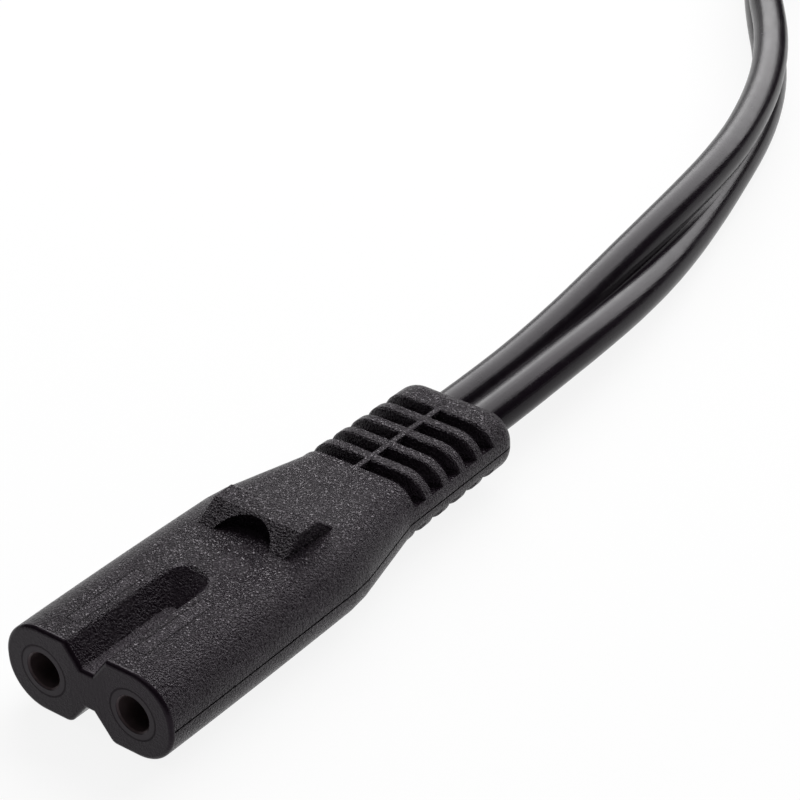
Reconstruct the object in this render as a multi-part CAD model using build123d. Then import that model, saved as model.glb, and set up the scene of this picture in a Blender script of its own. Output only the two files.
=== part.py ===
"""Mains lead: a two-hole figure-8 connector, a flat twin cord with its spare length in a tied hank,
and a two-blade plug.

Millimetres. The connector lies along Y with its mouth towards -Y and rests on z = 0. The origin is
under the middle of the connector.
"""

from build123d import *
from math import cos, radians, sin, tan
import os

# Connector body: half widths and half heights at distances behind the face
BODY_LENGTH = 44.4
LOBE_PITCH = 8.6
LOBE_RADIUS = 3.65
FACE_CORNER = 3.45
FACE_EDGE = 0.3
SHOULDER_WIDTH_SHARE = 0.98
SHOULDER_HEIGHT_SHARE = 0.91
SHOULDER_CORNER = 3.05
SHOULDER_EASE = 0.9
TAPER_LENGTH = 8.3
RELIEF_LENGTH = 14.2
NECK_WIDTH = 11.6
NECK_HEIGHT = 5.46
NECK_CORNER = 2.55
REAR_WIDTH = 11.05
REAR_HEIGHT = 5.16
REAR_CORNER = 2.4
BACK_STATIONS = [
    # share of the shoulder's distance, width share, height share, corner radius
    (0.34, 0.999, 0.999, 3.45),
    (0.68, 0.988, 0.972, 3.3),
]

# Valleys between the lobes
TOP_FLOOR_WIDTH = 1.2
TOP_FLOOR_ABOVE_AXIS = 1.75
TOP_FLOOR_SHARE = 0.438
TOP_RIM_WIDTH = 4.0
TOP_RIM_SHARE = 0.575
UNDER_FLOOR_WIDTH = 0.8
UNDER_FLOOR_BELOW_AXIS = 1.6
UNDER_RIM_WIDTH = 4.1
RIM_ROUND = 0.35
UNDER_RIM_ROUND = 0.8

# Grip bar across the top
BAR_WIDTH = 8.5
BAR_ABOVE_AXIS = 4.8
BAR_TOE_SHARE = 0.767
BAR_FRONT_RUN = 2.3
BAR_TOP_RUN = 1.9
BAR_REAR_RUN = 1.7
BAR_EDGE = 0.15
ARCH_HALF_WIDTH = 2.8
ARCH_REACH = 2.1

# Ribbed strain relief at the rear of the connector
GROOVE_COUNT = 5
GROOVE_PITCH = 2.25
GROOVE_FIRST_FROM_NECK = 1.4
GROOVE_WIDTHS = (1.65, 1.2, 0.6)
GROOVE_DEPTH = 0.75
RIM_EASE = 0.16
RIM_CLEARANCE = 0.06
GROOVE_BRIDGE = 0.5
GROOVE_SIDE_BAND = 2.0
COLLAR_ROUND = 1.5

# Insert that carries the contacts
SLEEVE_RADIUS = 2.2
INSERT_BEFORE_CRIMP = 0.4
ENTRY_RADIUS = 1.45
ENTRY_LENGTH = 3.0
ENTRY_BEVEL = 0.15
BRIDGE_THICKNESS = 1.9
BRIDGE_FROM_FACE = 3.5

# Rolled contacts and their crimps
PIN_RADIUS = 1.2
CONTACT_CLEARANCE = 0.03
CONTACT_WALL = 0.4
CONTACT_LENGTH = 9.0
CONTACT_SLOT = 0.4
CONTACT_NECK_LENGTH = 3.9
CONTACT_NECK_WIDTH = 1.4
CRIMP_WALL = 0.35
CRIMP_LENGTH = 3.6
CRIMP_CLEARANCE = 0.5

# Flat twin cord
CORE_DIAMETER = 3.4
CORE_PITCH = 3.2
WEB_SHARE = 0.5
STRAND_RADIUS = 0.6
STRAND_LAP = 3.0
SPLIT_LENGTH = 11.5
SPLIT_LEAD = 2.5
CORE_STRAIGHT = 3.5
TORN_CORE_RADIUS = 1.5
CORE_BEND = 6.0

# Free cord from the connector towards the hank: X and Y of its middle line
CORD_ROUTE = [(0.0, 34.4), (-2.7, 57.0), (-7.6, 78.0), (-14.4, 93.2)]
CORD_LAST_RUN = 18.0
ENTRY_STUB = 18.7
ENTRY_HEADING = 31.0
RUN_SHARE = 0.45

# Hank of the spare length: two end loops and a waist
HANK_X = -21.0
HANK_NEAR_LOOP_Y = 152.6
LOOP_SPACING = 98.0
LOOP_RADIUS = 19.8
STRAND_PITCH = 3.5
STRANDS_ACROSS = 3
LAYERS = 2
LAYER_HEIGHT = 6.7
TIE_WIDTH = 9.0
TIE_THICKNESS = 0.8
TIE_CORNER = 1.6

# Plug, lying on the hank with its blades towards -Y
PLUG_TIP_FROM_HANK_MIDDLE = 53.5
PLUG_WIDTH = 24.0
PLUG_HEIGHT = 14.4
PLUG_CORNER = 5.5
PLUG_BLOCK_LENGTH = 12.0
PLUG_TAPER_LENGTH = 10.0
PLUG_RELIEF_LENGTH = 15.0
PLUG_RELIEF_WIDTH = 11.0
PLUG_RELIEF_HEIGHT = 7.0
PLUG_RELIEF_CORNER = 2.6
PLUG_GROOVE_COUNT = 4
PLUG_GROOVE_PITCH = 2.8
PLUG_GROOVE_WIDTHS = (2.1, 1.6, 0.9)
PLUG_GROOVE_DEPTH = 1.2
PLUG_GROOVE_START = 3.0
BLADE_SPACING = 12.7
BLADE_WIDTH = 6.35
BLADE_THICKNESS = 1.5
BLADE_OUT = 16.5
BLADE_ROOT = 7.0
BLADE_HOLE_RADIUS = 1.6
BLADE_HOLE_FROM_TIP = 4.2
BLADE_TIP_BEVEL = 1.2
BLADE_CRIMP_LENGTH = 3.0
PLUG_INSERT_WIDTH = 18.6
PLUG_INSERT_HEIGHT = 9.4
PLUG_INSERT_CORNER = 2.4
PLUG_INSERT_DEPTH = 5.0
PLUG_SPLIT_LENGTH = 15.0

# Cord from the plug down into the hank's top: steps in X, Y and Z
TAIL_STEPS = [(0.0, 16.0, 0.0), (6.5, 17.0, -3.4), (10.0, 14.0, -5.8)]

FACE_Y = -BODY_LENGTH / 2
REAR_Y = BODY_LENGTH / 2
AXIS_Z = LOBE_RADIUS
NECK_FROM_FACE = BODY_LENGTH - RELIEF_LENGTH
SHOULDER_FROM_FACE = NECK_FROM_FACE - TAPER_LENGTH
TOP_FLOOR_LENGTH = SHOULDER_FROM_FACE * TOP_FLOOR_SHARE
TOP_RIM_LENGTH = SHOULDER_FROM_FACE * TOP_RIM_SHARE
BAR_TOE_FROM_FACE = SHOULDER_FROM_FACE * BAR_TOE_SHARE
CRIMP_FROM_FACE = ENTRY_LENGTH + CONTACT_LENGTH + CONTACT_NECK_LENGTH
INSERT_LENGTH = CRIMP_FROM_FACE - INSERT_BEFORE_CRIMP
BODY_WIDTH = LOBE_PITCH + 2 * LOBE_RADIUS
SHOULDER_WIDTH = BODY_WIDTH * SHOULDER_WIDTH_SHARE
SHOULDER_HEIGHT = 2 * LOBE_RADIUS * SHOULDER_HEIGHT_SHARE
CORD_WIDTH = CORE_PITCH + CORE_DIAMETER
CONTACT_BORE = PIN_RADIUS + CONTACT_CLEARANCE
CONTACT_RADIUS = CONTACT_BORE + CONTACT_WALL
CRIMP_RADIUS = STRAND_RADIUS + CRIMP_WALL
HANK_RADIUS = LOOP_RADIUS + (STRANDS_ACROSS - 1) * STRAND_PITCH + CORE_DIAMETER / 2
HANK_WAIST = 2 * STRANDS_ACROSS * STRAND_PITCH
HANK_TOP = LAYERS * LAYER_HEIGHT + TIE_THICKNESS
HANK_MIDDLE_Y = HANK_NEAR_LOOP_Y + LOOP_SPACING / 2
PLUG_Z = HANK_TOP + PLUG_HEIGHT / 2
PLUG_FACE_Y = HANK_MIDDLE_Y - PLUG_TIP_FROM_HANK_MIDDLE + BLADE_OUT
PLUG_REAR_Y = PLUG_FACE_Y + PLUG_BLOCK_LENGTH + PLUG_TAPER_LENGTH + PLUG_RELIEF_LENGTH
SIDES = {"left": -1, "right": 1}


def box(x0, x1, y0, y1, z0, z1):
    """A block between two corners."""
    return Pos((x0 + x1) / 2, (y0 + y1) / 2, (z0 + z1) / 2) * Box(x1 - x0, y1 - y0, z1 - z0)


def rod(radius, y0, y1, x=0.0, z=AXIS_Z):
    """A round bar along Y."""
    return Pos(x, (y0 + y1) / 2, z) * Rot(90, 0, 0) * Cylinder(radius, y1 - y0)


def across(y, z=AXIS_Z, x=0.0):
    """A plane square to Y that faces the rear, with its own X reversed."""
    return Plane(origin=(x, y, z), x_dir=(-1, 0, 0), z_dir=(0, 1, 0))


def rounded_section(y, width, height, corner, z=AXIS_Z, x=0.0):
    return across(y, z, x) * RectangleRounded(width, height, corner)


def bar(y0, y1, width, height, corner, z=AXIS_Z, x=0.0):
    """A prism of rounded section along Y."""
    return extrude(rounded_section(y0, width, height, corner, z, x), y1 - y0)


def twin_outline():
    """The two cores of the flat cord side by side, joined along their middle."""
    half = CORE_PITCH / 2
    cores = Pos(-half, 0) * Circle(CORE_DIAMETER / 2) + Pos(half, 0) * Circle(CORE_DIAMETER / 2)
    return cores + Rectangle(CORE_PITCH, CORE_DIAMETER * WEB_SHARE)


def twin_length(y0, y1, z=AXIS_Z, x=0.0):
    """A straight length of the flat cord along Y."""
    return extrude(across(y0, z, x) * twin_outline(), y1 - y0)


def trough(floor, rim, floor_z, rim_z, past):
    """A trough open at the face, with sloping walls and a ramp that ends in a round rim."""
    share = 1 + past / abs(rim_z - floor_z)
    outlines = []
    for part in (0.0, share):
        half = (floor[0] + (rim[0] - floor[0]) * part) / 2
        end = FACE_Y + floor[1] + (rim[1] - floor[1]) * part
        start = FACE_Y - 1
        z = AXIS_Z + floor_z + (rim_z - floor_z) * part
        left = Line((-half, start, z), (-half, end - half, z))
        nose = ThreePointArc((-half, end - half, z), (0, end, z), (half, end - half, z))
        right = Line((half, end - half, z), (half, start, z))
        mouth = Line((half, start, z), (-half, start, z))
        outlines.append(Face(Wire([left, nose, right, mouth])))
    return loft(outlines, ruled=True)


def groove_cutter(y, z, x, size, corner, widths, depth, bridge, band):
    """One groove with eased rims and sloping walls round a strain relief, broken by a bridge
    above and below and by a band on each side."""
    wide, high = size
    rim, outer, inner = widths
    full, eased, low = [
        (wide - 2 * sunk, high - 2 * sunk, corner - sunk) for sunk in (-RIM_CLEARANCE, depth * RIM_EASE, depth)
    ]
    ring = bar(y - rim / 2, y + rim / 2, wide + 2, high + 2, corner + 1, z, x)
    stations = [(-rim, full), (-outer, eased), (-inner, low), (inner, low), (outer, eased), (rim, full)]
    core = loft([rounded_section(y + place / 2, *shape, z, x) for place, shape in stations], ruled=True)
    middle = box(x - bridge / 2, x + bridge / 2, y - rim, y + rim, z - high, z + high)
    sides = box(x - wide, x + wide, y - rim, y + rim, z - band / 2, z + band / 2)
    return ring - core - middle - sides


def core_leg(side, spread, z, x, split_y, end_y):
    """One core from the split to its crimp, moving out sideways by two tangent bends."""
    direction = 1 if end_y > split_y else -1
    inner = x + side * CORE_PITCH / 2
    outer = x + side * spread
    points = [
        (inner, split_y, z),
        (inner, split_y + direction * SPLIT_LEAD, z),
        (outer, end_y - direction * CORE_STRAIGHT, z),
        (outer, end_y, z),
    ]
    path = FilletPolyline(*points, radius=CORE_BEND)
    return sweep(Plane(origin=path @ 0, z_dir=path % 0) * Circle(TORN_CORE_RADIUS), path=path)


def overmould_block():
    """The connector's outside without valleys or grooves: the held part, a taper, the strain relief."""
    sections = [rounded_section(FACE_Y, BODY_WIDTH, 2 * LOBE_RADIUS, FACE_CORNER)]
    for share, wide, high, corner in BACK_STATIONS:
        y = FACE_Y + SHOULDER_FROM_FACE * share
        sections.append(rounded_section(y, BODY_WIDTH * wide, 2 * LOBE_RADIUS * high, corner))
    shoulder_y = FACE_Y + SHOULDER_FROM_FACE
    neck_y = FACE_Y + NECK_FROM_FACE
    shoulder = rounded_section(shoulder_y - SHOULDER_EASE, SHOULDER_WIDTH, SHOULDER_HEIGHT, SHOULDER_CORNER)
    neck = rounded_section(neck_y, NECK_WIDTH, NECK_HEIGHT, NECK_CORNER)
    rear = rounded_section(REAR_Y, REAR_WIDTH, REAR_HEIGHT, REAR_CORNER)
    share = SHOULDER_EASE / (NECK_FROM_FACE - SHOULDER_FROM_FACE)
    eased = rounded_section(
        shoulder_y + SHOULDER_EASE,
        SHOULDER_WIDTH + (NECK_WIDTH - SHOULDER_WIDTH) * share,
        SHOULDER_HEIGHT + (NECK_HEIGHT - SHOULDER_HEIGHT) * share,
        SHOULDER_CORNER + (NECK_CORNER - SHOULDER_CORNER) * share,
    )
    front = loft([*sections, shoulder])
    rest = loft([shoulder, eased, neck, rear], ruled=True)
    rest = fillet(rest.faces().sort_by(Axis.Y)[-1].edges(), COLLAR_ROUND)
    return front + rest


def grip_bar():
    """The raised bar, with an arch cut into its front."""
    toe_y = FACE_Y + BAR_TOE_FROM_FACE
    top_z = AXIS_Z + BAR_ABOVE_AXIS
    toe_z = AXIS_Z + LOBE_RADIUS * 0.92
    low_z = AXIS_Z + TOP_FLOOR_ABOVE_AXIS + 0.5
    crest_y = toe_y + BAR_FRONT_RUN
    back_y = crest_y + BAR_TOP_RUN
    profile = Polyline(
        (0, toe_y, toe_z),
        (0, crest_y, top_z),
        (0, back_y, top_z),
        (0, back_y + BAR_REAR_RUN, toe_z),
        (0, back_y + BAR_REAR_RUN, low_z),
        (0, toe_y, low_z),
        close=True,
    )
    raised = extrude(Face(Wire(profile.edges())), BAR_WIDTH / 2, dir=(1, 0, 0), both=True)
    raised = fillet(raised.edges().filter_by(lambda edge: edge.center().Z > toe_z + 0.2), BAR_EDGE)
    arch_radius = (ARCH_HALF_WIDTH**2 + ARCH_REACH**2) / (2 * ARCH_REACH)
    arch = Pos(0, toe_y + ARCH_REACH - arch_radius, top_z) * Cylinder(arch_radius, 4 * LOBE_RADIUS)
    return raised - arch


def contact(side):
    """A rolled sleeve with its slot, a neck and a closed crimp barrel."""
    x = side * LOBE_PITCH / 2
    y0 = FACE_Y + ENTRY_LENGTH
    y1 = y0 + CONTACT_LENGTH
    y2 = y1 + CONTACT_NECK_LENGTH
    sleeve = rod(CONTACT_RADIUS, y0, y1, x) - rod(CONTACT_BORE, y0, y1, x)
    sleeve -= box(x - CONTACT_SLOT / 2, x + CONTACT_SLOT / 2, y0, y1, AXIS_Z, AXIS_Z + 2 * CONTACT_RADIUS)
    low = AXIS_Z - CONTACT_RADIUS
    rise = CONTACT_RADIUS - CRIMP_RADIUS
    profile = Polyline(
        (x, y1 - 1, low),
        (x, y1, low),
        (x, y2, low + rise),
        (x, y2 + 1, low + rise),
        (x, y2 + 1, low + rise + CONTACT_WALL),
        (x, y2, low + rise + CONTACT_WALL),
        (x, y1, low + CONTACT_WALL),
        (x, y1 - 1, low + CONTACT_WALL),
        close=True,
    )
    strip = extrude(Face(Wire(profile.edges())), CONTACT_NECK_WIDTH / 2, dir=(1, 0, 0), both=True)
    strip = strip & rod(CONTACT_RADIUS, y1 - 1, y2 + 1, x)
    barrel = rod(CRIMP_RADIUS, y2, y2 + CRIMP_LENGTH, x)
    whole = sleeve + strip - rod(CONTACT_BORE, y0, y1, x) + barrel
    return whole - rod(STRAND_RADIUS, y2, y2 + CRIMP_LENGTH, x)


def insert(contacts):
    """Two tubes that reach the face, with a bridge between them."""
    y0 = FACE_Y
    y1 = FACE_Y + INSERT_LENGTH
    half = LOBE_PITCH / 2
    body = box(-half, half, FACE_Y + BRIDGE_FROM_FACE, y1, AXIS_Z - BRIDGE_THICKNESS / 2, AXIS_Z + BRIDGE_THICKNESS / 2)
    for side in SIDES.values():
        body += rod(SLEEVE_RADIUS, y0, y1, side * half)
    for side in SIDES.values():
        x = side * half
        body -= rod(CONTACT_RADIUS, y0 + ENTRY_LENGTH, y1, x)
        body -= rod(ENTRY_RADIUS, y0, y0 + ENTRY_LENGTH, x)
        mouth = Plane(origin=(x, y0, AXIS_Z), z_dir=(0, 1, 0))
        body -= loft(
            [mouth * Circle(ENTRY_RADIUS + ENTRY_BEVEL), mouth.offset(ENTRY_BEVEL) * Circle(ENTRY_RADIUS)], ruled=True
        )
    return body


def tail_path():
    """The middle line from the plug's rear down into the hank's top."""
    place = Vector(HANK_X, PLUG_REAR_Y, PLUG_Z)
    points = [tuple(place)]
    for step in TAIL_STEPS:
        place = place + Vector(*step)
        points.append(tuple(place))
    return smooth_route(points, "tail")


def smooth_route(points, name):
    """Straight runs joined by tangent arcs, each as wide as the shorter run allows."""
    vectors = [Vector(*point) for point in points]
    runs = [(b - a) for a, b in zip(vectors, vectors[1:])]
    radii = []
    for before, after in zip(runs, runs[1:]):
        turn = radians(before.get_angle(after))
        radii.append(RUN_SHARE * min(before.length, after.length) / tan(turn / 2))
    print(name, "radii", [round(radius, 1) for radius in radii])
    print(name, "runs", [round(run.length, 1) for run in runs])
    return FilletPolyline(*points, radius=radii)


def hank_outline():
    """Two round ends and a drawn-in waist, all in tangent arcs."""
    half = LOOP_SPACING / 2
    waist = HANK_WAIST / 2
    inner = (waist**2 + half**2 - HANK_RADIUS**2) / (2 * (HANK_RADIUS - waist))
    reach = waist + inner
    far = HANK_RADIUS + inner
    tx = HANK_RADIUS * reach / far
    ty = half - HANK_RADIUS * half / far
    x = HANK_X
    y = HANK_MIDDLE_Y
    end = half + HANK_RADIUS
    arcs = [
        ThreePointArc((x + tx, y + ty), (x, y + end), (x - tx, y + ty)),
        ThreePointArc((x - tx, y + ty), (x - waist, y), (x - tx, y - ty)),
        ThreePointArc((x - tx, y - ty), (x, y - end), (x + tx, y - ty)),
        ThreePointArc((x + tx, y - ty), (x + waist, y), (x + tx, y + ty)),
    ]
    return Face(Wire(arcs))


# Route of the free cord: it meets the outermost strand of the near loop on a tangent
turn_in = radians(ENTRY_HEADING)
heading = Vector(-sin(turn_in), cos(turn_in), 0)
strand_radius = HANK_RADIUS - CORE_DIAMETER / 2
touch = Vector(HANK_X - strand_radius * cos(turn_in), HANK_NEAR_LOOP_Y - strand_radius * sin(turn_in), AXIS_Z)
lead_points = [(0.0, REAR_Y, AXIS_Z)]
lead_points += [(x, y, AXIS_Z) for x, y in CORD_ROUTE]
for before in (ENTRY_STUB + CORD_LAST_RUN, ENTRY_STUB):
    place = touch - heading * before
    lead_points.append((place.X, place.Y, AXIS_Z))
lead_path = smooth_route(lead_points, "lead")
cord_lead = sweep(across(REAR_Y) * twin_outline(), path=lead_path)
section_area = twin_outline().area
print("lead volume", round(cord_lead.volume, 1), "section by length", round(section_area * lead_path.length, 1))

# Hank, pressed to a rounded block under its tie, with the stub where the free cord comes in
tie_y0 = HANK_MIDDLE_Y - TIE_WIDTH / 2
tie_y1 = HANK_MIDDLE_Y + TIE_WIDTH / 2
tie_z = TIE_THICKNESS + (HANK_TOP - TIE_THICKNESS) / 2
waist_block = bar(tie_y0, tie_y1, HANK_WAIST, HANK_TOP - TIE_THICKNESS, TIE_CORNER, tie_z, HANK_X)
hank = extrude(hank_outline(), HANK_TOP)
hank -= box(HANK_X - HANK_RADIUS, HANK_X + HANK_RADIUS, tie_y0, tie_y1, -1, HANK_TOP + 1)
hank += waist_block
stub_start = touch - heading * ENTRY_STUB
stub_plane = Plane(origin=stub_start, x_dir=(cos(turn_in), sin(turn_in), 0), z_dir=heading)
hank += extrude(stub_plane * twin_outline(), ENTRY_STUB)
tie_outer = bar(
    tie_y0,
    tie_y1,
    HANK_WAIST + 2 * TIE_THICKNESS,
    HANK_TOP + TIE_THICKNESS,
    TIE_CORNER + TIE_THICKNESS,
    (HANK_TOP + TIE_THICKNESS) / 2,
    HANK_X,
)
hank_tie = tie_outer - waist_block

# Tail
tail_line = tail_path()
cord_tail = sweep(across(PLUG_REAR_Y, PLUG_Z, HANK_X) * twin_outline(), path=tail_line)
print("tail volume", round(cord_tail.volume, 1), "section by length", round(section_area * tail_line.length, 1))
cord_tail -= hank

# Connector's insides
contacts = {name: contact(side) for name, side in SIDES.items()}
connector_insert = insert(contacts)
crimp_start = FACE_Y + CRIMP_FROM_FACE
core_end = crimp_start + CRIMP_LENGTH + CRIMP_CLEARANCE
split_y = REAR_Y - SPLIT_LENGTH
conductors = {
    name: rod(STRAND_RADIUS, crimp_start, core_end + STRAND_LAP, side * LOBE_PITCH / 2)
    for name, side in SIDES.items()
}
cord_root = twin_length(split_y, REAR_Y)
for side in SIDES.values():
    cord_root += core_leg(side, LOBE_PITCH / 2, AXIS_Z, 0.0, split_y, core_end)
for conductor in conductors.values():
    cord_root -= conductor

# Connector's overmould
overmould = overmould_block() + grip_bar()
overmould -= trough(
    (TOP_FLOOR_WIDTH, TOP_FLOOR_LENGTH), (TOP_RIM_WIDTH, TOP_RIM_LENGTH), TOP_FLOOR_ABOVE_AXIS, LOBE_RADIUS, 0.6
)
overmould -= trough(
    (UNDER_FLOOR_WIDTH, TOP_FLOOR_LENGTH), (UNDER_RIM_WIDTH, TOP_RIM_LENGTH), -UNDER_FLOOR_BELOW_AXIS, -LOBE_RADIUS, 0.6
)
for step in range(GROOVE_COUNT):
    from_face = NECK_FROM_FACE + GROOVE_FIRST_FROM_NECK + step * GROOVE_PITCH
    along = (from_face - NECK_FROM_FACE) / (BODY_LENGTH - NECK_FROM_FACE)
    size = (NECK_WIDTH + (REAR_WIDTH - NECK_WIDTH) * along, NECK_HEIGHT + (REAR_HEIGHT - NECK_HEIGHT) * along)
    overmould -= groove_cutter(
        FACE_Y + from_face,
        AXIS_Z,
        0.0,
        size,
        NECK_CORNER,
        GROOVE_WIDTHS,
        GROOVE_DEPTH,
        GROOVE_BRIDGE,
        GROOVE_SIDE_BAND,
    )
inside = [connector_insert, cord_root, *contacts.values(), *conductors.values()]
for piece in inside:
    overmould -= piece
for side in SIDES.values():
    overmould -= rod(SLEEVE_RADIUS, FACE_Y, FACE_Y + INSERT_LENGTH, side * LOBE_PITCH / 2)


def rim_edges(body, sign):
    """Edges where a valley meets the outside, above or below the axis."""
    return body.edges().filter_by(
        lambda edge: sign * (edge.center().Z - AXIS_Z) > LOBE_RADIUS * 0.94
        and edge.center().Y < FACE_Y + TOP_RIM_LENGTH + 1
        and abs(edge.center().X) < TOP_RIM_WIDTH * 0.6
    )


overmould = fillet(rim_edges(overmould, 1), RIM_ROUND)
overmould = fillet(rim_edges(overmould, -1), UNDER_RIM_ROUND)
face_outline = overmould.faces().sort_by(Axis.Y)[0].outer_wire().edges()
overmould = fillet(face_outline, FACE_EDGE)

# Plug
block_end = PLUG_FACE_Y + PLUG_BLOCK_LENGTH
relief_start = block_end + PLUG_TAPER_LENGTH
blade_tip = PLUG_FACE_Y - BLADE_OUT
blade_end = PLUG_FACE_Y + BLADE_ROOT
plug_core_end = blade_end + BLADE_CRIMP_LENGTH + CRIMP_CLEARANCE
plug_split = PLUG_REAR_Y - PLUG_SPLIT_LENGTH
blades = {}
plug_conductors = {}
for name, side in SIDES.items():
    x = HANK_X + side * BLADE_SPACING / 2
    blade = box(
        x - BLADE_THICKNESS / 2,
        x + BLADE_THICKNESS / 2,
        blade_tip,
        blade_end,
        PLUG_Z - BLADE_WIDTH / 2,
        PLUG_Z + BLADE_WIDTH / 2,
    )
    tip_edges = blade.faces().sort_by(Axis.Y)[0].edges().filter_by(Axis.X)
    blade = chamfer(tip_edges, BLADE_TIP_BEVEL)
    blade -= Pos(x, blade_tip + BLADE_HOLE_FROM_TIP, PLUG_Z) * Rot(0, 90, 0) * Cylinder(
        BLADE_HOLE_RADIUS, 2 * BLADE_THICKNESS
    )
    blade += rod(CRIMP_RADIUS, blade_end, blade_end + BLADE_CRIMP_LENGTH, x, PLUG_Z)
    blade -= rod(STRAND_RADIUS, blade_end, blade_end + BLADE_CRIMP_LENGTH, x, PLUG_Z)
    blades[name] = blade
    plug_conductors[name] = rod(STRAND_RADIUS, blade_end, plug_core_end + STRAND_LAP, x, PLUG_Z)
plug_insert = bar(
    PLUG_FACE_Y,
    PLUG_FACE_Y + PLUG_INSERT_DEPTH,
    PLUG_INSERT_WIDTH,
    PLUG_INSERT_HEIGHT,
    PLUG_INSERT_CORNER,
    PLUG_Z,
    HANK_X,
)
for blade in blades.values():
    plug_insert -= blade
plug_root = twin_length(plug_split, PLUG_REAR_Y, PLUG_Z, HANK_X)
for side in SIDES.values():
    plug_root += core_leg(side, BLADE_SPACING / 2, PLUG_Z, HANK_X, plug_split, plug_core_end)
for conductor in plug_conductors.values():
    plug_root -= conductor
plug_body = bar(PLUG_FACE_Y, block_end, PLUG_WIDTH, PLUG_HEIGHT, PLUG_CORNER, PLUG_Z, HANK_X)
plug_body += loft(
    [
        rounded_section(block_end, PLUG_WIDTH, PLUG_HEIGHT, PLUG_CORNER, PLUG_Z, HANK_X),
        rounded_section(
            relief_start, PLUG_RELIEF_WIDTH, PLUG_RELIEF_HEIGHT, PLUG_RELIEF_CORNER, PLUG_Z, HANK_X
        ),
    ],
    ruled=True,
)
plug_body += bar(
    relief_start, PLUG_REAR_Y, PLUG_RELIEF_WIDTH, PLUG_RELIEF_HEIGHT, PLUG_RELIEF_CORNER, PLUG_Z, HANK_X
)
for step in range(PLUG_GROOVE_COUNT):
    plug_body -= groove_cutter(
        relief_start + PLUG_GROOVE_START + step * PLUG_GROOVE_PITCH,
        PLUG_Z,
        HANK_X,
        (PLUG_RELIEF_WIDTH, PLUG_RELIEF_HEIGHT),
        PLUG_RELIEF_CORNER,
        PLUG_GROOVE_WIDTHS,
        PLUG_GROOVE_DEPTH,
        GROOVE_BRIDGE,
        GROOVE_SIDE_BAND,
    )
for piece in [plug_insert, plug_root, *blades.values(), *plug_conductors.values()]:
    plug_body -= piece

nodes = {
    "connector_overmould": overmould,
    "connector_insert": connector_insert,
    "contact_left": contacts["left"],
    "contact_right": contacts["right"],
    "conductor_left": conductors["left"],
    "conductor_right": conductors["right"],
    "cord_root": cord_root,
    "cord_lead": cord_lead,
    "cord_hank": hank,
    "hank_tie": hank_tie,
    "cord_tail": cord_tail,
    "plug_overmould": plug_body,
    "plug_insert": plug_insert,
    "blade_left": blades["left"],
    "blade_right": blades["right"],
    "plug_conductor_left": plug_conductors["left"],
    "plug_conductor_right": plug_conductors["right"],
    "plug_cord_root": plug_root,
}
os.makedirs("parts", exist_ok=True)
for name, shape in nodes.items():
    export_step(shape, f"parts/{name}.step")
    print(name, len(shape.solids()), shape.is_valid, round(shape.volume, 2))
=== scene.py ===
"""Looks of the power cord: connector, flat cord with its hank, tie, plug and stage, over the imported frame."""

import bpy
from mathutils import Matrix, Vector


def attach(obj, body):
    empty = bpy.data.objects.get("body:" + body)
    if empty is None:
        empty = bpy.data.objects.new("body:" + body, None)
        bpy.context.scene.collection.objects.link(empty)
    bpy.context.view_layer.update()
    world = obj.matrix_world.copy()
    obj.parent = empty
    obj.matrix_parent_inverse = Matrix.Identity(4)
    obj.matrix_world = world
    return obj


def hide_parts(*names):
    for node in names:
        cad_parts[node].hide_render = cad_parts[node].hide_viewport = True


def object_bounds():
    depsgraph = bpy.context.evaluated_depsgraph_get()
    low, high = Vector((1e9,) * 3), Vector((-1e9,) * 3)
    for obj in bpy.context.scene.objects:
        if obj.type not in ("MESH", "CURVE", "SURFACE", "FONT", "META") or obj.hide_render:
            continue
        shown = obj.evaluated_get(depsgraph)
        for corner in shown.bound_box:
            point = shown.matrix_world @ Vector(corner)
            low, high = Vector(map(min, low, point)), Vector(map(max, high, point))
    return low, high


bl_info = {
    "name": "Power Cord",
    "version": (1, 0, 0),
    "blender": (4, 5, 0),
    "location": "View3D > Sidebar > Power Cord",
    "description": "Dresses a power cord with a figure-8 connector, a tied hank and a two-blade plug",
    "category": "Object",
}

from math import acos, atan2, cos, pi, radians, sin

import bmesh
import bpy
from mathutils import Matrix, Vector

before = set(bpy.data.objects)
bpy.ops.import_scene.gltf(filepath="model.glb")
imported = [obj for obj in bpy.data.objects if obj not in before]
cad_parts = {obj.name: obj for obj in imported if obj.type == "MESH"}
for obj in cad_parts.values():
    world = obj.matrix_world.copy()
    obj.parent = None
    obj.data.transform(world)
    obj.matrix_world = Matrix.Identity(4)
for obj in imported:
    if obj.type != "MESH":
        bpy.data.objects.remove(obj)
CAD_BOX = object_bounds()
MM = 0.001

# Places on the mouldings, in metres
FACE_Y = -22.2 * MM
FACE_EDGE = 0.35 * MM
AXIS_Z = 3.65 * MM
HOLE_X = 4.3 * MM
BORE_MOUTH_RADIUS = 1.57 * MM
SLEEVE_JOINT_RADIUS = 2.12 * MM
SLEEVE_JOINT_HALF = 0.08 * MM
VALLEY_HALF_WIDTH = 1.85 * MM
VALLEY_LENGTH = 12.2 * MM
PARTING_Z = AXIS_Z - 0.1 * MM
PARTING_HALF = 0.065 * MM
PLUG_PARTING_HALF = 0.07 * MM
PANEL_ABOVE_AXIS = 1.2 * MM
PANEL_ASIDE = 3.2 * MM
PANEL_HALF_WIDTH = 0.65 * MM
PANEL_FROM_FACE = 6.0 * MM
PANEL_HALF_LENGTH = 3.8 * MM
PANEL_LINE = 0.13 * MM

# Tint of the plastic's sheen, painted light for the bores' walls (lighter and browner than the insert, standing
# in for light inside the holes), and colours of the metals
PLASTIC_TINT = (1.0, 0.87, 1.0, 1.0)
BORE_PAINTED_LIGHT_DIM = (0.055, 0.04, 0.042)
BORE_PAINTED_LIGHT_BRIGHT = (0.08, 0.06, 0.062)
CONTACT_METAL = (0.72, 0.58, 0.34)
BLADE_METAL = (0.74, 0.72, 0.68)
COPPER = (0.78, 0.42, 0.26)

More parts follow.
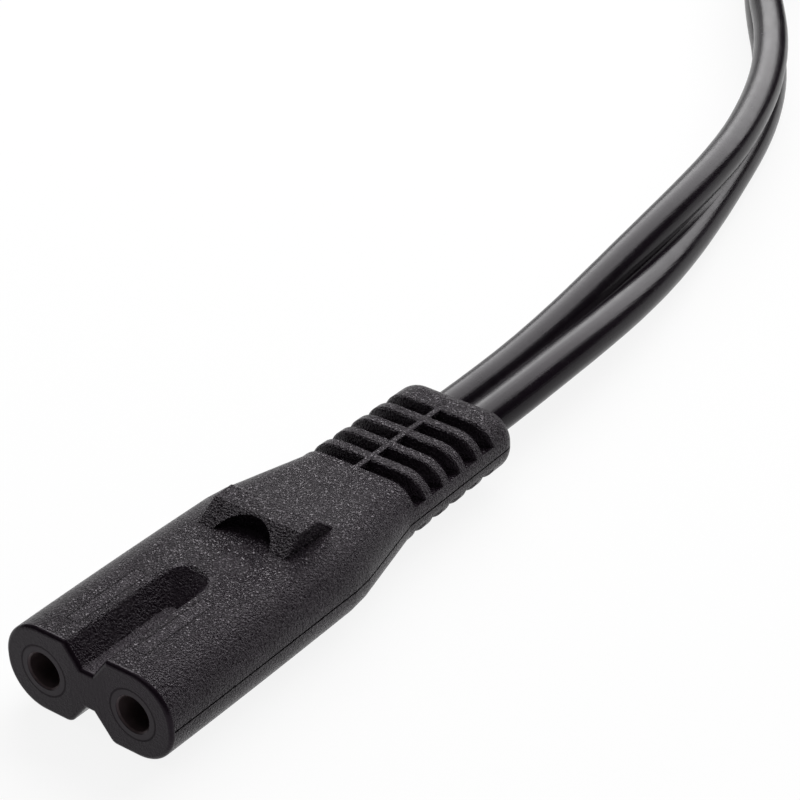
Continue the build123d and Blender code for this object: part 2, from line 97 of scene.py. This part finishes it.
# Camera, in metres with its sensor in millimetres, floor and world
CAMERA_PLACE = (0.1239, -0.14045, 0.1340)
CAMERA_RIGHT = Vector((0.78991, 0.61275, -0.02468))
CAMERA_UP = Vector((-0.30948, 0.43307, 0.84658))
CAMERA_BACK = Vector((0.52942, -0.66107, 0.53170))
SENSOR_WIDTH = 36.0
FLOOR_GREY = (0.96, 0.96, 0.96, 1.0)
FLOOR_GLOW = 0.88
WORLD_STRENGTH = 0.07

# Each lamp's place and size in metres, and the stage setting that holds its power
LAMPS = {
    "sheen": ((-0.26, 0.77, 0.59), (1.3, 0.72), "key"),
    "edge": ((-0.74, 0.62, 0.28), (0.8, 0.5), "edge"),
    "overhead": ((-0.1, 0.0, 1.1), (0.8, 0.8), "fill"),
}

# Route of the cord, in millimetres: the lead's points, then the hank's turns
LEAD_ROUTE = [
    (0.0, 22.2, 3.65),
    (0.0, 34.4, 3.65),
    (-2.7, 57.0, 3.6),
    (-7.6, 78.0, 3.5),
    (-14.4, 93.2, 3.4),
]
HANK_X = -21.0
NEAR_LOOP_Y = 152.6
ENTRY_HEADING = radians(31.0)
ENTRY_STUB = 18.7
CORD_LAST_RUN = 18.0
STANDING_Z = 3.35
TIE_LIFT = 0.8
TIE_REACH = 30.0
PLUG_AXIS_Z = 21.4
LOOP_POINTS = 8
WAIST_POINTS = 6
SECTION_STEPS = 19
SECTION_ARC = 320.0

# Rise to the plug: shares of it at the end of the last fold and in the counter-bend, and that bend's size
LAST_FOLD_CLIMB = 0.72
COUNTER_BEND_CLIMB = 0.88
COUNTER_BEND_SHARE = 0.886

# Angles within a fold where, or over which, a strand changes its slot or climbs
NEAR_SHIFT = radians(130)
FAR_SHIFT = radians(90)
LAYER_CLIMB_START = radians(130)
LAYER_CLIMB_SPAN = radians(165)
LAST_CLIMB_START = radians(170)
LAST_CLIMB_SPAN = radians(230)

# Stretches, in metres along the cord, over which it turns on edge and back
TURN_START = 0.008
TURN_RUN = 0.047
PLUG_TURN_BEFORE_END = 0.11
PLUG_TURN_RUN = 0.09


# Settings


class PowerCordColours(bpy.types.PropertyGroup):
    """Colours of the black materials."""

    pvc: bpy.props.FloatVectorProperty(
        name="Moulded PVC",
        description="Colour of both overmouldings",
        subtype="COLOR",
        size=3,
        default=(0.0100, 0.0062, 0.0100),
    )
    jacket: bpy.props.FloatVectorProperty(
        name="Cord jacket",
        description="Colour of the flat cord",
        subtype="COLOR",
        size=3,
        default=(0.006, 0.0034, 0.0063),
    )
    insert: bpy.props.FloatVectorProperty(
        name="Insert",
        description="Colour of the hard inserts",
        subtype="COLOR",
        size=3,
        default=(0.0100, 0.0065, 0.0095),
    )
    strap: bpy.props.FloatVectorProperty(
        name="Strap",
        description="Colour of the hank's tie",
        subtype="COLOR",
        size=3,
        default=(0.02, 0.02, 0.023),
    )


class PowerCordCord(bpy.types.PropertyGroup):
    """Section, length and hank of the flat cord."""

    core: bpy.props.FloatProperty(
        name="Core diameter", description="Outer diameter of each core", unit="LENGTH", default=3.4 * MM
    )
    pitch: bpy.props.FloatProperty(
        name="Core pitch", description="Distance between the two cores", unit="LENGTH", default=3.2 * MM
    )
    length: bpy.props.FloatProperty(
        name="Whole length",
        description="Length from the connector to the plug",
        unit="LENGTH",
        default=1.8,
    )
    loop_radius: bpy.props.FloatProperty(
        name="Loop radius",
        description="Radius of the hank's innermost fold",
        unit="LENGTH",
        default=19.8 * MM,
    )
    loop_spacing: bpy.props.FloatProperty(
        name="Loop spacing",
        description="Distance between the hank's two folds",
        unit="LENGTH",
        default=98.0 * MM,
    )
    strand_pitch: bpy.props.FloatProperty(
        name="Strand pitch",
        description="Distance between strands side by side",
        unit="LENGTH",
        default=3.5 * MM,
    )
    layer: bpy.props.FloatProperty(
        name="Layer height",
        description="Distance between strands on each other",
        unit="LENGTH",
        default=6.7 * MM,
    )


class PowerCordStage(bpy.types.PropertyGroup):
    """Camera, floor and lamps."""

    lens: bpy.props.FloatProperty(
        name="Lens", description="Focal length of the camera", default=135.0
    )
    floor: bpy.props.FloatProperty(
        name="Floor size", description="Side of the floor", unit="LENGTH", default=12.0
    )
    key: bpy.props.FloatProperty(
        name="Main lamp", description="Power of the lamp behind the part", unit="POWER", default=17.0
    )
    edge: bpy.props.FloatProperty(
        name="Edge lamp", description="Power of the lamp at the left", unit="POWER", default=0.8
    )
    fill: bpy.props.FloatProperty(
        name="Fill lamp", description="Power of the lamp overhead", unit="POWER", default=2.0
    )


# Node helpers


def new_material(name):
    """A node material with its nodes, links and Principled shader."""
    material = bpy.data.materials.new(name)
    material.use_nodes = True
    nodes = material.node_tree.nodes
    return material, nodes, material.node_tree.links, nodes["Principled BSDF"]


def texture(nodes, links, kind, scale, source=None, stretch=None, **values):
    """A procedural texture on Object coordinates, with an optional stretch."""
    node = nodes.new(kind)
    node.inputs["Scale"].default_value = scale
    for key, value in values.items():
        node.inputs[key].default_value = value
    if source is None:
        source = nodes.new("ShaderNodeTexCoord").outputs["Object"]
    if stretch is not None:
        mapping = nodes.new("ShaderNodeMapping")
        mapping.inputs["Scale"].default_value = stretch
        links.new(source, mapping.inputs["Vector"])
        source = mapping.outputs["Vector"]
    links.new(source, node.inputs["Vector"])
    return node


def ramp(nodes, links, source, stops):
    """A colour ramp over a factor; each stop is a place and a colour or a grey."""
    node = nodes.new("ShaderNodeValToRGB")
    elements = node.color_ramp.elements
    while len(elements) < len(stops):
        elements.new(0.5)
    for element, (place, value) in zip(elements, stops):
        element.position = place
        colour = value if isinstance(value, tuple) else (value, value, value)
        element.color = (*colour, 1.0)
    links.new(source, node.inputs["Fac"])
    return node.outputs["Color"]


def bump(nodes, links, height, strength, distance, normal=None):
    """A bump from a height, on another normal where one is given; strength is a number or a socket."""
    node = nodes.new("ShaderNodeBump")
    if isinstance(strength, (int, float)):
        node.inputs["Strength"].default_value = strength
    else:
        links.new(strength, node.inputs["Strength"])
    node.inputs["Distance"].default_value = distance
    links.new(height, node.inputs["Height"])
    if normal is not None:
        links.new(normal, node.inputs["Normal"])
    return node.outputs["Normal"]


def maths(nodes, links, operation, *values):
    """A math node over sockets or numbers."""
    node = nodes.new("ShaderNodeMath")
    node.operation = operation
    for socket, value in zip(node.inputs, values):
        if isinstance(value, (int, float)):
            socket.default_value = value
        else:
            links.new(value, socket)
    return node.outputs[0]


def blend(nodes, links, share, first, second):
    """A mix of two colours by a share; the second is a socket or a plain colour."""
    node = nodes.new("ShaderNodeMix")
    node.data_type = "RGBA"
    links.new(share, node.inputs["Factor"])
    links.new(first, node.inputs[6])
    if isinstance(second, tuple):
        node.inputs[7].default_value = (*second, 1.0)
    else:
        links.new(second, node.inputs[7])
    return node.outputs[2]


def object_place(nodes, links):
    """The three Object coordinates."""
    node = nodes.new("ShaderNodeSeparateXYZ")
    links.new(nodes.new("ShaderNodeTexCoord").outputs["Object"], node.inputs[0])
    return node.outputs


def tinted(colour, share):
    """A colour times a share, kept within white."""
    return tuple(min(1.0, channel * share) for channel in colour)


def moulded_pvc(colour):
    """Matte PVC with a spark-eroded grain, a smooth face and valley, parting lines and mould panels."""
    material, nodes, links, shader = new_material("moulded_pvc_look")

    def calc(operation, *values):
        return maths(nodes, links, operation, *values)

    def panel_area(inset):
        across = calc("COMPARE", aside, PANEL_ASIDE, PANEL_HALF_WIDTH - inset)
        along = calc("COMPARE", y, FACE_Y + PANEL_FROM_FACE, PANEL_HALF_LENGTH - inset)
        return calc("MULTIPLY", across, along)

    x, y, z = object_place(nodes, links)
    aside = calc("ABSOLUTE", x)
    behind_face = calc("GREATER_THAN", y, FACE_Y + FACE_EDGE)
    above = calc("GREATER_THAN", z, AXIS_Z + PANEL_ABOVE_AXIS)
    valley = calc(
        "MULTIPLY",
        calc("LESS_THAN", aside, VALLEY_HALF_WIDTH),
        calc("LESS_THAN", y, FACE_Y + VALLEY_LENGTH),
    )
    parting = calc(
        "MAXIMUM",
        calc("COMPARE", z, PARTING_Z, PARTING_HALF),
        calc("COMPARE", z, PLUG_AXIS_Z * MM, PLUG_PARTING_HALF),
    )
    parting = calc("MULTIPLY", parting, behind_face)
    panel = calc("MULTIPLY", panel_area(0.0), above)
    outline = calc("MULTIPLY", panel, calc("SUBTRACT", 1.0, panel_area(PANEL_LINE)))
    seams = calc("MAXIMUM", parting, calc("MULTIPLY", outline, 0.7))
    flow = texture(nodes, links, "ShaderNodeTexNoise", 90.0, Detail=4.0, Roughness=0.6)
    base = ramp(nodes, links, flow.outputs["Fac"], [(0.35, tinted(colour, 0.8)), (0.7, tinted(colour, 1.25))])
    links.new(blend(nodes, links, seams, base, tinted(colour, 0.25)), shader.inputs["Base Color"])
    rub = texture(nodes, links, "ShaderNodeTexNoise", 420.0, Detail=5.0, Roughness=0.7)
    links.new(
        ramp(nodes, links, rub.outputs["Fac"], [(0.3, 0.22), (0.75, 0.32)]),
        shader.inputs["Roughness"],
    )
    calm = calc("MAXIMUM", calc("MULTIPLY", valley, 0.6), calc("MULTIPLY", panel, 0.3))
    grained = calc("MULTIPLY_ADD", behind_face, 0.9, 0.1)
    rough_share = calc("MULTIPLY", grained, calc("SUBTRACT", 1.0, calm))
    tool = texture(nodes, links, "ShaderNodeTexNoise", 1600.0, stretch=(3.0, 0.25, 1.0), Detail=3.0)
    cut = bump(nodes, links, calc("MULTIPLY", tool.outputs["Fac"], valley), 0.6, 0.00003)
    step = bump(nodes, links, calc("SUBTRACT", panel, calc("MULTIPLY", parting, 2.0)), 1.0, 0.00006, cut)
    grain = texture(nodes, links, "ShaderNodeTexNoise", 6200.0, Detail=2.0, Roughness=0.6)
    pebble = texture(nodes, links, "ShaderNodeTexVoronoi", 4200.0, Randomness=1.0)
    height = ramp(nodes, links, grain.outputs["Fac"], [(0.38, 0.0), (0.62, 1.0)])
    coarse = bump(nodes, links, pebble.outputs["Distance"], rough_share, 0.00004, step)
    links.new(bump(nodes, links, height, rough_share, 0.00012, coarse), shader.inputs["Normal"])
    gloss = calc("MULTIPLY_ADD", calc("MULTIPLY", height, rough_share), 0.22, 0.12)
    links.new(calc("MULTIPLY", gloss, calc("SUBTRACT", 1.0, seams)), shader.inputs["Specular IOR Level"])
    shader.inputs["Specular Tint"].default_value = PLASTIC_TINT
    return material


def cord_jacket(colour):
    """Satin PVC drawn from a die: fine lines along the cord, light dust and scuffs."""
    material, nodes, links, shader = new_material("cord_jacket_look")
    uv = nodes.new("ShaderNodeUVMap")
    uv.uv_map = "along"
    dust = texture(nodes, links, "ShaderNodeTexNoise", 160.0, Detail=5.0, Roughness=0.65)
    links.new(
        ramp(nodes, links, dust.outputs["Fac"], [(0.35, tinted(colour, 0.8)), (0.75, tinted(colour, 1.25))]),
        shader.inputs["Base Color"],
    )
    drawn_out = (30.0, 140.0, 1.0)
    lines = texture(
        nodes, links, "ShaderNodeTexNoise", 1.0, uv.outputs["UV"], drawn_out, Detail=3.0, Roughness=0.5
    )
    scuff = texture(nodes, links, "ShaderNodeTexNoise", 700.0, Detail=4.0, Roughness=0.7)
    links.new(
        ramp(nodes, links, scuff.outputs["Fac"], [(0.35, 0.21), (0.8, 0.3)]),
        shader.inputs["Roughness"],
    )
    drawn = bump(nodes, links, lines.outputs["Fac"], 0.25, 0.00004)
    fine = texture(nodes, links, "ShaderNodeTexNoise", 2800.0, Detail=2.0)
    links.new(bump(nodes, links, fine.outputs["Fac"], 0.18, 0.00003, drawn), shader.inputs["Normal"])
    shader.inputs["Specular IOR Level"].default_value = 0.14
    shader.inputs["Specular Tint"].default_value = (1.0, 0.95, 1.0, 1.0)
    return material


def hard_insert(colour):
    """Smooth hard plastic of the inserts, with haze, the moulded joint line round each sleeve, and painted
    light on the bores' walls.
    """
    material, nodes, links, shader = new_material("insert_look")

    def calc(operation, *values):
        return maths(nodes, links, operation, *values)

    x, y, z = object_place(nodes, links)
    across = calc("SUBTRACT", calc("ABSOLUTE", x), HOLE_X)
    over = calc("SUBTRACT", z, AXIS_Z)
    far = calc("SQRT", calc("ADD", calc("MULTIPLY", across, across), calc("MULTIPLY", over, over)))
    joint = calc("COMPARE", far, SLEEVE_JOINT_RADIUS, SLEEVE_JOINT_HALF)
    haze = texture(nodes, links, "ShaderNodeTexNoise", 900.0, Detail=4.0)
    shades = [(0.3, tinted(colour, 0.85)), (0.75, tinted(colour, 1.3))]
    face = ramp(nodes, links, haze.outputs["Fac"], shades)
    # Painted light: the bores' walls are coloured lighter and browner than the face, standing in for light
    # inside the holes, which the lamps reach only from the front.
    painted_bore_light = ramp(nodes, links, haze.outputs["Fac"], [(0.3, BORE_PAINTED_LIGHT_DIM), (0.75, BORE_PAINTED_LIGHT_BRIGHT)])
    bore_light_mask = calc("LESS_THAN", far, BORE_MOUTH_RADIUS)
    links.new(blend(nodes, links, bore_light_mask, face, painted_bore_light), shader.inputs["Base Color"])
    links.new(ramp(nodes, links, haze.outputs["Fac"], [(0.3, 0.3), (0.7, 0.42)]), shader.inputs["Roughness"])
    fine = texture(nodes, links, "ShaderNodeTexNoise", 3000.0, Detail=2.0)
    seat = bump(nodes, links, joint, 1.0, 0.00003)
    links.new(bump(nodes, links, fine.outputs["Fac"], 0.15, 0.00003, seat), shader.inputs["Normal"])
    links.new(calc("MULTIPLY_ADD", joint, -0.12, 0.17), shader.inputs["Specular IOR Level"])
    shader.inputs["Specular Tint"].default_value = PLASTIC_TINT
    return material


def woven_strap(colour):
    """Twill-woven nylon: two crossing sets of ribs with painted shade in their hollows and painted highlight on
    their tops, loose fibres and lint.
    """
    material, nodes, links, shader = new_material("strap_look")
    heights = []
    for stretch in ((1.0, 1.0, 1.0), (1.0, -1.0, 1.0)):
        ribs = texture(nodes, links, "ShaderNodeTexWave", 620.0, stretch=stretch, Distortion=0.6, Detail=1.0)
        ribs.bands_direction = "DIAGONAL"
        heights.append(ribs.outputs["Fac"])
    weave = maths(nodes, links, "MAXIMUM", *heights)
    fibre = texture(nodes, links, "ShaderNodeTexNoise", 2400.0, stretch=(1.0, 0.2, 1.0), Detail=3.0)
    # Painted shade and highlight: the colour follows the weave's height, darker in its hollows and lighter on
    # its ribs.
    links.new(
        ramp(nodes, links, weave, [(0.1, tinted(colour, 0.45)), (0.9, tinted(colour, 1.5))]),
        shader.inputs["Base Color"],
    )
    links.new(ramp(nodes, links, fibre.outputs["Fac"], [(0.3, 0.7), (0.7, 0.9)]), shader.inputs["Roughness"])
    rough = bump(nodes, links, fibre.outputs["Fac"], 0.4, 0.00008)
    links.new(bump(nodes, links, weave, 0.8, 0.0002, rough), shader.inputs["Normal"])
    shader.inputs["Sheen Weight"].default_value = 0.25
    return material


def pressed_metal(name, colour, rough, stretch):
    """Pressed sheet metal with rolling lines and handling marks."""
    material, nodes, links, shader = new_material(name)
    shader.inputs["Metallic"].default_value = 1.0
    lines = texture(nodes, links, "ShaderNodeTexNoise", 1500.0, stretch=stretch, Detail=4.0)
    cloud = texture(nodes, links, "ShaderNodeTexNoise", 250.0, Detail=3.0)
    links.new(
        ramp(nodes, links, cloud.outputs["Fac"], [(0.3, tinted(colour, 0.86)), (0.7, colour)]),
        shader.inputs["Base Color"],
    )
    links.new(
        ramp(nodes, links, lines.outputs["Fac"], [(0.3, rough * 0.8), (0.7, rough * 1.3)]),
        shader.inputs["Roughness"],
    )
    links.new(bump(nodes, links, lines.outputs["Fac"], 0.15, 0.00003), shader.inputs["Normal"])
    return material


def paper_floor():
    """White paper that keeps a soft shadow and shows white to the camera and in reflections."""
    material, nodes, links, shader = new_material("paper_floor")
    shader.inputs["Base Color"].default_value = FLOOR_GREY
    shader.inputs["Roughness"].default_value = 0.9
    shader.inputs["Specular IOR Level"].default_value = 0.0
    path = nodes.new("ShaderNodeLightPath").outputs
    seen = maths(nodes, links, "ADD", path["Is Camera Ray"], path["Is Glossy Ray"])
    seen = maths(nodes, links, "ADD", seen, path["Is Transmission Ray"])
    share = maths(nodes, links, "MULTIPLY", seen, FLOOR_GLOW)
    share.node.use_clamp = True
    glow = nodes.new("ShaderNodeEmission")
    mixed = nodes.new("ShaderNodeMixShader")
    links.new(share, mixed.inputs["Fac"])
    links.new(shader.outputs["BSDF"], mixed.inputs[1])
    links.new(glow.outputs["Emission"], mixed.inputs[2])
    links.new(mixed.outputs["Shader"], nodes["Material Output"].inputs["Surface"])
    return material


def give(node, material):
    """Puts a material on a carried-over CAD node."""
    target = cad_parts[node]
    if not target.material_slots:
        target.data.materials.append(material)
    for slot in target.material_slots:
        slot.material = material


# Route and sweep of the cord


class Hank:
    """Sizes of the hank in millimetres, and the places of its strands' control points."""

    def __init__(self, cord):
        self.pitch = cord.strand_pitch / MM
        self.inner = cord.loop_radius / MM
        self.half = cord.loop_spacing / MM / 2
        self.layer = cord.layer / MM
        self.middle = NEAR_LOOP_Y + self.half
        self.outer = self.inner + 2 * self.pitch
        waist = 2.5 * self.pitch
        self.bend = (waist**2 + self.half**2 - self.outer**2) / (2 * (self.outer - waist))
        self.reach = waist + self.bend
        self.lean = atan2(self.half, self.reach)
        self.sweep = pi + 2 * self.lean

    def loop(self, end, start, span, count, slot, height):
        """Points round one fold, clockwise from an angle; slot and height are functions of the angle."""
        step = span / count
        points = []
        for index in range(count):
            angle = start - (index + 0.5) * step
            radius = (self.outer - slot(angle) * self.pitch) / cos(step / 2)
            x = HANK_X + radius * cos(angle)
            y = self.middle + end * self.half + radius * sin(angle)
            points.append((x, y, height(angle)))
        return points

    def waist(self, side, slot, height):
        """Points along one side of the drawn-in waist, upwards on the left and downwards on the right."""
        step = 2 * self.lean / WAIST_POINTS
        radius = (self.bend + slot * self.pitch) / cos(step / 2)
        points = []
        for index in range(WAIST_POINTS):
            angle = -self.lean + (index + 0.5) * step
            x = HANK_X + side * (self.reach - radius * cos(angle))
            along = -side * radius * sin(angle)
            lift = TIE_LIFT * max(0.0, 1 - (along / TIE_REACH) ** 2)
            points.append((x, self.middle + along, height + lift))
        return points


def eased(value):
    """A share from 0 to 1 that starts and ends gently."""
    value = min(1.0, max(0.0, value))
    return value * value * (3 - 2 * value)


def cord_route(cord):
    """Control points of the whole cord, from the connector's rear to the plug's rear."""
    hank = Hank(cord)
    low = STANDING_Z
    high = STANDING_Z + hank.layer
    heading = Vector((-sin(ENTRY_HEADING), cos(ENTRY_HEADING), 0))
    touch_x = HANK_X - hank.outer * cos(ENTRY_HEADING)
    touch_y = NEAR_LOOP_Y - hank.outer * sin(ENTRY_HEADING)
    touch = Vector((touch_x, touch_y, low))
    points = list(LEAD_ROUTE)
    for before in (ENTRY_STUB + CORD_LAST_RUN, ENTRY_STUB):
        points.append(tuple(touch - heading * before))

    left_far = pi + hank.lean
    near_start = hank.lean

    def moved(first, last):
        return lambda angle: first + (last - first) * eased(-angle / NEAR_SHIFT)

    def flat(height):
        return lambda angle: height

    def far_moved(first, last):
        return lambda angle: first + (last - first) * eased((left_far - angle) / FAR_SHIFT)

    entry = -pi + ENTRY_HEADING
    points += hank.loop(-1, entry, entry + pi + hank.lean, 2, lambda angle: 0.0, flat(low))
    for slot in (0, 1):
        points += hank.waist(-1, slot, low)
        points += hank.loop(1, left_far, hank.sweep, LOOP_POINTS, lambda angle: slot, flat(low))
        points += hank.waist(1, slot, low)
        points += hank.loop(-1, near_start, hank.sweep, LOOP_POINTS, moved(slot, slot + 1), flat(low))
    points += hank.waist(-1, 2, low)
    points += hank.loop(
        1,
        left_far,
        hank.sweep,
        LOOP_POINTS,
        lambda angle: 2.0,
        lambda angle: low + hank.layer * eased((LAYER_CLIMB_START - angle) / LAYER_CLIMB_SPAN),
    )
    points += hank.waist(1, 2, high)
    points += hank.loop(-1, near_start, hank.sweep, LOOP_POINTS, lambda angle: 2.0, flat(high))
    points += hank.waist(-1, 2, high)
    points += hank.loop(1, left_far, hank.sweep, LOOP_POINTS, far_moved(2, 1), flat(high))
    points += hank.waist(1, 1, high)
    points += hank.loop(-1, near_start, hank.sweep, LOOP_POINTS, lambda angle: 1.0, flat(high))
    points += hank.waist(-1, 1, high)

    counter = 4 * hank.pitch + 4 * hank.pitch * COUNTER_BEND_SHARE
    lean = acos(1 - hank.outer / (hank.outer + counter))
    rise = PLUG_AXIS_Z - high
    points += hank.loop(
        1,
        left_far,
        left_far + lean,
        LOOP_POINTS + 1,
        far_moved(1, 0),
        lambda angle: high + rise * LAST_FOLD_CLIMB * eased((LAST_CLIMB_START - angle) / LAST_CLIMB_SPAN),
    )
    step = lean / 2
    radius = counter / cos(step / 2)
    centre_y = hank.middle + hank.half - (hank.outer + counter) * sin(lean)
    for index, share in enumerate((COUNTER_BEND_CLIMB, 1.0)):
        angle = pi - lean + (index + 0.5) * step
        x = HANK_X + counter + radius * cos(angle)
        points.append((x, centre_y + radius * sin(angle), high + rise * share))
    points.append((HANK_X, hank.middle, PLUG_AXIS_Z))
    return [Vector(point) * MM for point in points]


def spline_points(name, points):
    """Places along the NURBS spline through the route's control points."""
    data = bpy.data.curves.new(name, "CURVE")
    data.dimensions = "3D"
    data.resolution_u = 8
    spline = data.splines.new("NURBS")
    spline.points.add(len(points) - 1)
    for point, place in zip(spline.points, points):
        point.co = (*place, 1.0)
    spline.order_u = 3
    spline.use_endpoint_u = True
    curve = bpy.data.objects.new(name, data)
    bpy.context.scene.collection.objects.link(curve)
    bpy.context.view_layer.update()
    mesh = bpy.data.meshes.new_from_object(curve.evaluated_get(bpy.context.evaluated_depsgraph_get()))
    places = [vertex.co.copy() for vertex in mesh.vertices]
    bpy.data.objects.remove(curve)
    bpy.data.curves.remove(data)
    bpy.data.meshes.remove(mesh)
    return places


def twin_section(core, pitch):
    """Outline of the flat cord: two cores and the web between them, across and up."""
    half = []
    for index in range(SECTION_STEPS):
        angle = radians(SECTION_ARC / 2 - SECTION_ARC * index / (SECTION_STEPS - 1))
        half.append((pitch / 2 + core / 2 * cos(angle), core / 2 * sin(angle)))
    return half + [(-across, -up) for across, up in half]


def swept_cord(name, places, section, turn):
    """A closed tube of a section along places; turn gives the section's turn at a distance."""
    bm = bmesh.new()
    layer = bm.loops.layers.uv.new("along")
    travelled = 0.0
    rings = []
    for index, place in enumerate(places):
        before = places[max(0, index - 1)]
        after = places[min(len(places) - 1, index + 1)]
        forward = (after - before).normalized()
        if index:
            travelled += (place - before).length
        left = Vector((0, 0, 1)).cross(forward).normalized()
        up = forward.cross(left)
        angle = turn(travelled)
        wide = left * cos(angle) + up * sin(angle)
        high = up * cos(angle) - left * sin(angle)
        ring = [bm.verts.new(place + wide * across + high * rise) for across, rise in section]
        rings.append((travelled, ring))
    count = len(section)
    for (start, ring), (end, following) in zip(rings, rings[1:]):
        for index in range(count):
            other = (index + 1) % count
            face = bm.faces.new((ring[index], ring[other], following[other], following[index]))
            face.smooth = True
            around = (index / count, (index + 1) / count)
            uvs = ((start, around[0]), (start, around[1]), (end, around[1]), (end, around[0]))
            for loop, uv in zip(face.loops, uvs):
                loop[layer].uv = uv
    for cap in (bm.faces.new(rings[0][1]), bm.faces.new(list(reversed(rings[-1][1])))):
        for edge in cap.edges:
            edge.smooth = False
    bmesh.ops.recalc_face_normals(bm, faces=bm.faces)
    mesh = bpy.data.meshes.new(name)
    bm.to_mesh(mesh)
    bm.free()
    return link(name, mesh)


def link(name, mesh):
    """Puts a mesh into the scene as a piece of the part's one body."""
    piece = bpy.data.objects.new(name, mesh)
    bpy.context.scene.collection.objects.link(piece)
    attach(piece, "root")
    return piece


# Operators


class PowerCordOperator:
    """What every builder of the power cord shares."""

    bl_options = {"REGISTER", "UNDO"}


class POWERCORD_OT_stage(PowerCordOperator, bpy.types.Operator):
    """Set up the floor, the lamps, the world and the camera"""

    bl_idname = "powercord.stage"
    bl_label = "Stage"

    def execute(self, context):
        stage = context.scene.power_cord_stage
        camera_data = bpy.data.cameras.new("photo_camera")
        camera_data.lens = stage.lens
        camera_data.sensor_width = SENSOR_WIDTH
        camera_data.clip_start = 0.01
        camera = bpy.data.objects.new("photo_camera", camera_data)
        turned = Matrix((CAMERA_RIGHT, CAMERA_UP, CAMERA_BACK)).transposed().to_4x4()
        camera.matrix_world = Matrix.Translation(CAMERA_PLACE) @ turned
        context.scene.collection.objects.link(camera)
        context.scene.camera = camera

        mesh = bpy.data.meshes.new("floor")
        bm = bmesh.new()
        bmesh.ops.create_grid(bm, x_segments=1, y_segments=1, size=stage.floor / 2)
        bmesh.ops.translate(bm, verts=bm.verts, vec=(0, 0, CAD_BOX[0][2]))
        bm.to_mesh(mesh)
        bm.free()
        floor = bpy.data.objects.new("floor", mesh)
        context.scene.collection.objects.link(floor)
        floor.data.materials.append(paper_floor())

        world = bpy.data.worlds.new("studio")
        context.scene.world = world
        world.use_nodes = True
        background = world.node_tree.nodes["Background"]
        background.inputs["Color"].default_value = (1, 1, 1, 1)
        background.inputs["Strength"].default_value = WORLD_STRENGTH
        for name, (place, size, setting) in LAMPS.items():
            self.lamp(context, name, place, size, getattr(stage, setting))
        context.scene.view_settings.view_transform = "Standard"
        return {"FINISHED"}

    def lamp(self, context, name, place, size, power):
        """A rectangular lamp at a place, aimed at the origin."""
        data = bpy.data.lights.new(name, "AREA")
        data.shape = "RECTANGLE"
        data.size, data.size_y = size
        data.energy = power
        lamp = bpy.data.objects.new(name, data)
        lamp.location = place
        lamp.rotation_euler = (-Vector(place)).to_track_quat("-Z", "Y").to_euler()
        context.scene.collection.objects.link(lamp)


class POWERCORD_OT_cord(PowerCordOperator, bpy.types.Operator):
    """Lay the flat cord from the connector through its hank to the plug"""

    bl_idname = "powercord.cord"
    bl_label = "Cord"

    def execute(self, context):
        cord = context.scene.power_cord_cord
        places = spline_points("cord_route", cord_route(cord))
        length = sum((b - a).length for a, b in zip(places, places[1:]))

        def turn(travelled):
            rising = eased((travelled - TURN_START) / TURN_RUN)
            falling = eased((travelled - (length - PLUG_TURN_BEFORE_END)) / PLUG_TURN_RUN)
            return radians(90) * rising + radians(90) * falling

        section = twin_section(cord.core, cord.pitch)
        piece = swept_cord("flat_cord", places, section, turn)
        piece.data.materials.append(cord_jacket(context.scene.power_cord_colours.jacket))
        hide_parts("cord_lead", "cord_hank", "cord_tail")
        return {"FINISHED"}


class POWERCORD_OT_finishes(PowerCordOperator, bpy.types.Operator):
    """Give the connector, the plug and their metal pieces their finishes"""

    bl_idname = "powercord.finishes"
    bl_label = "Finishes"

    def execute(self, context):
        colours = context.scene.power_cord_colours
        finishes = (
            (moulded_pvc(colours.pvc), ("connector_overmould", "plug_overmould")),
            (hard_insert(colours.insert), ("connector_insert", "plug_insert")),
            (
                pressed_metal("contact_metal_look", CONTACT_METAL, 0.35, (1, 0.1, 1)),
                ("contact_left", "contact_right"),
            ),
            (
                pressed_metal("blade_metal_look", BLADE_METAL, 0.28, (1, 0.08, 1)),
                ("blade_left", "blade_right"),
            ),
            (
                pressed_metal("copper_look", COPPER, 0.3, (1, 0.05, 1)),
                ("conductor_left", "conductor_right", "plug_conductor_left", "plug_conductor_right"),
            ),
            (bpy.data.materials["cord_jacket_look"], ("cord_root", "plug_cord_root")),
            (woven_strap(colours.strap), ("hank_tie",)),
        )
        for material, names in finishes:
            for name in names:
                give(name, material)
        return {"FINISHED"}


class POWERCORD_PT_panel(bpy.types.Panel):
    """Buttons and sizes of the power cord"""

    bl_idname = "POWERCORD_PT_panel"
    bl_label = "Power Cord"
    bl_space_type = "VIEW_3D"
    bl_region_type = "UI"
    bl_category = "Power Cord"

    def draw(self, context):
        for group, cls in SETTINGS.items():
            box = self.layout.box()
            for name in cls.__annotations__:
                box.prop(getattr(context.scene, group), name)
        for operator in OPERATORS:
            self.layout.operator(operator.bl_idname)


OPERATORS = (POWERCORD_OT_stage, POWERCORD_OT_cord, POWERCORD_OT_finishes)
SETTINGS = {
    "power_cord_colours": PowerCordColours,
    "power_cord_cord": PowerCordCord,
    "power_cord_stage": PowerCordStage,
}


def register():
    """Adds the settings, the operators and the panel to Blender."""
    for cls in (*SETTINGS.values(), *OPERATORS, POWERCORD_PT_panel):
        bpy.utils.register_class(cls)
    for name, cls in SETTINGS.items():
        setattr(bpy.types.Scene, name, bpy.props.PointerProperty(type=cls))


def unregister():
    """Takes them out again."""
    for name in SETTINGS:
        delattr(bpy.types.Scene, name)
    for cls in reversed((*SETTINGS.values(), *OPERATORS, POWERCORD_PT_panel)):
        bpy.utils.unregister_class(cls)


def main():
    """Builds the stage, the cord and the finishes."""
    register()
    bpy.ops.powercord.stage()
    bpy.ops.powercord.cord()
    bpy.ops.powercord.finishes()


if __name__ == "__main__":
    main()
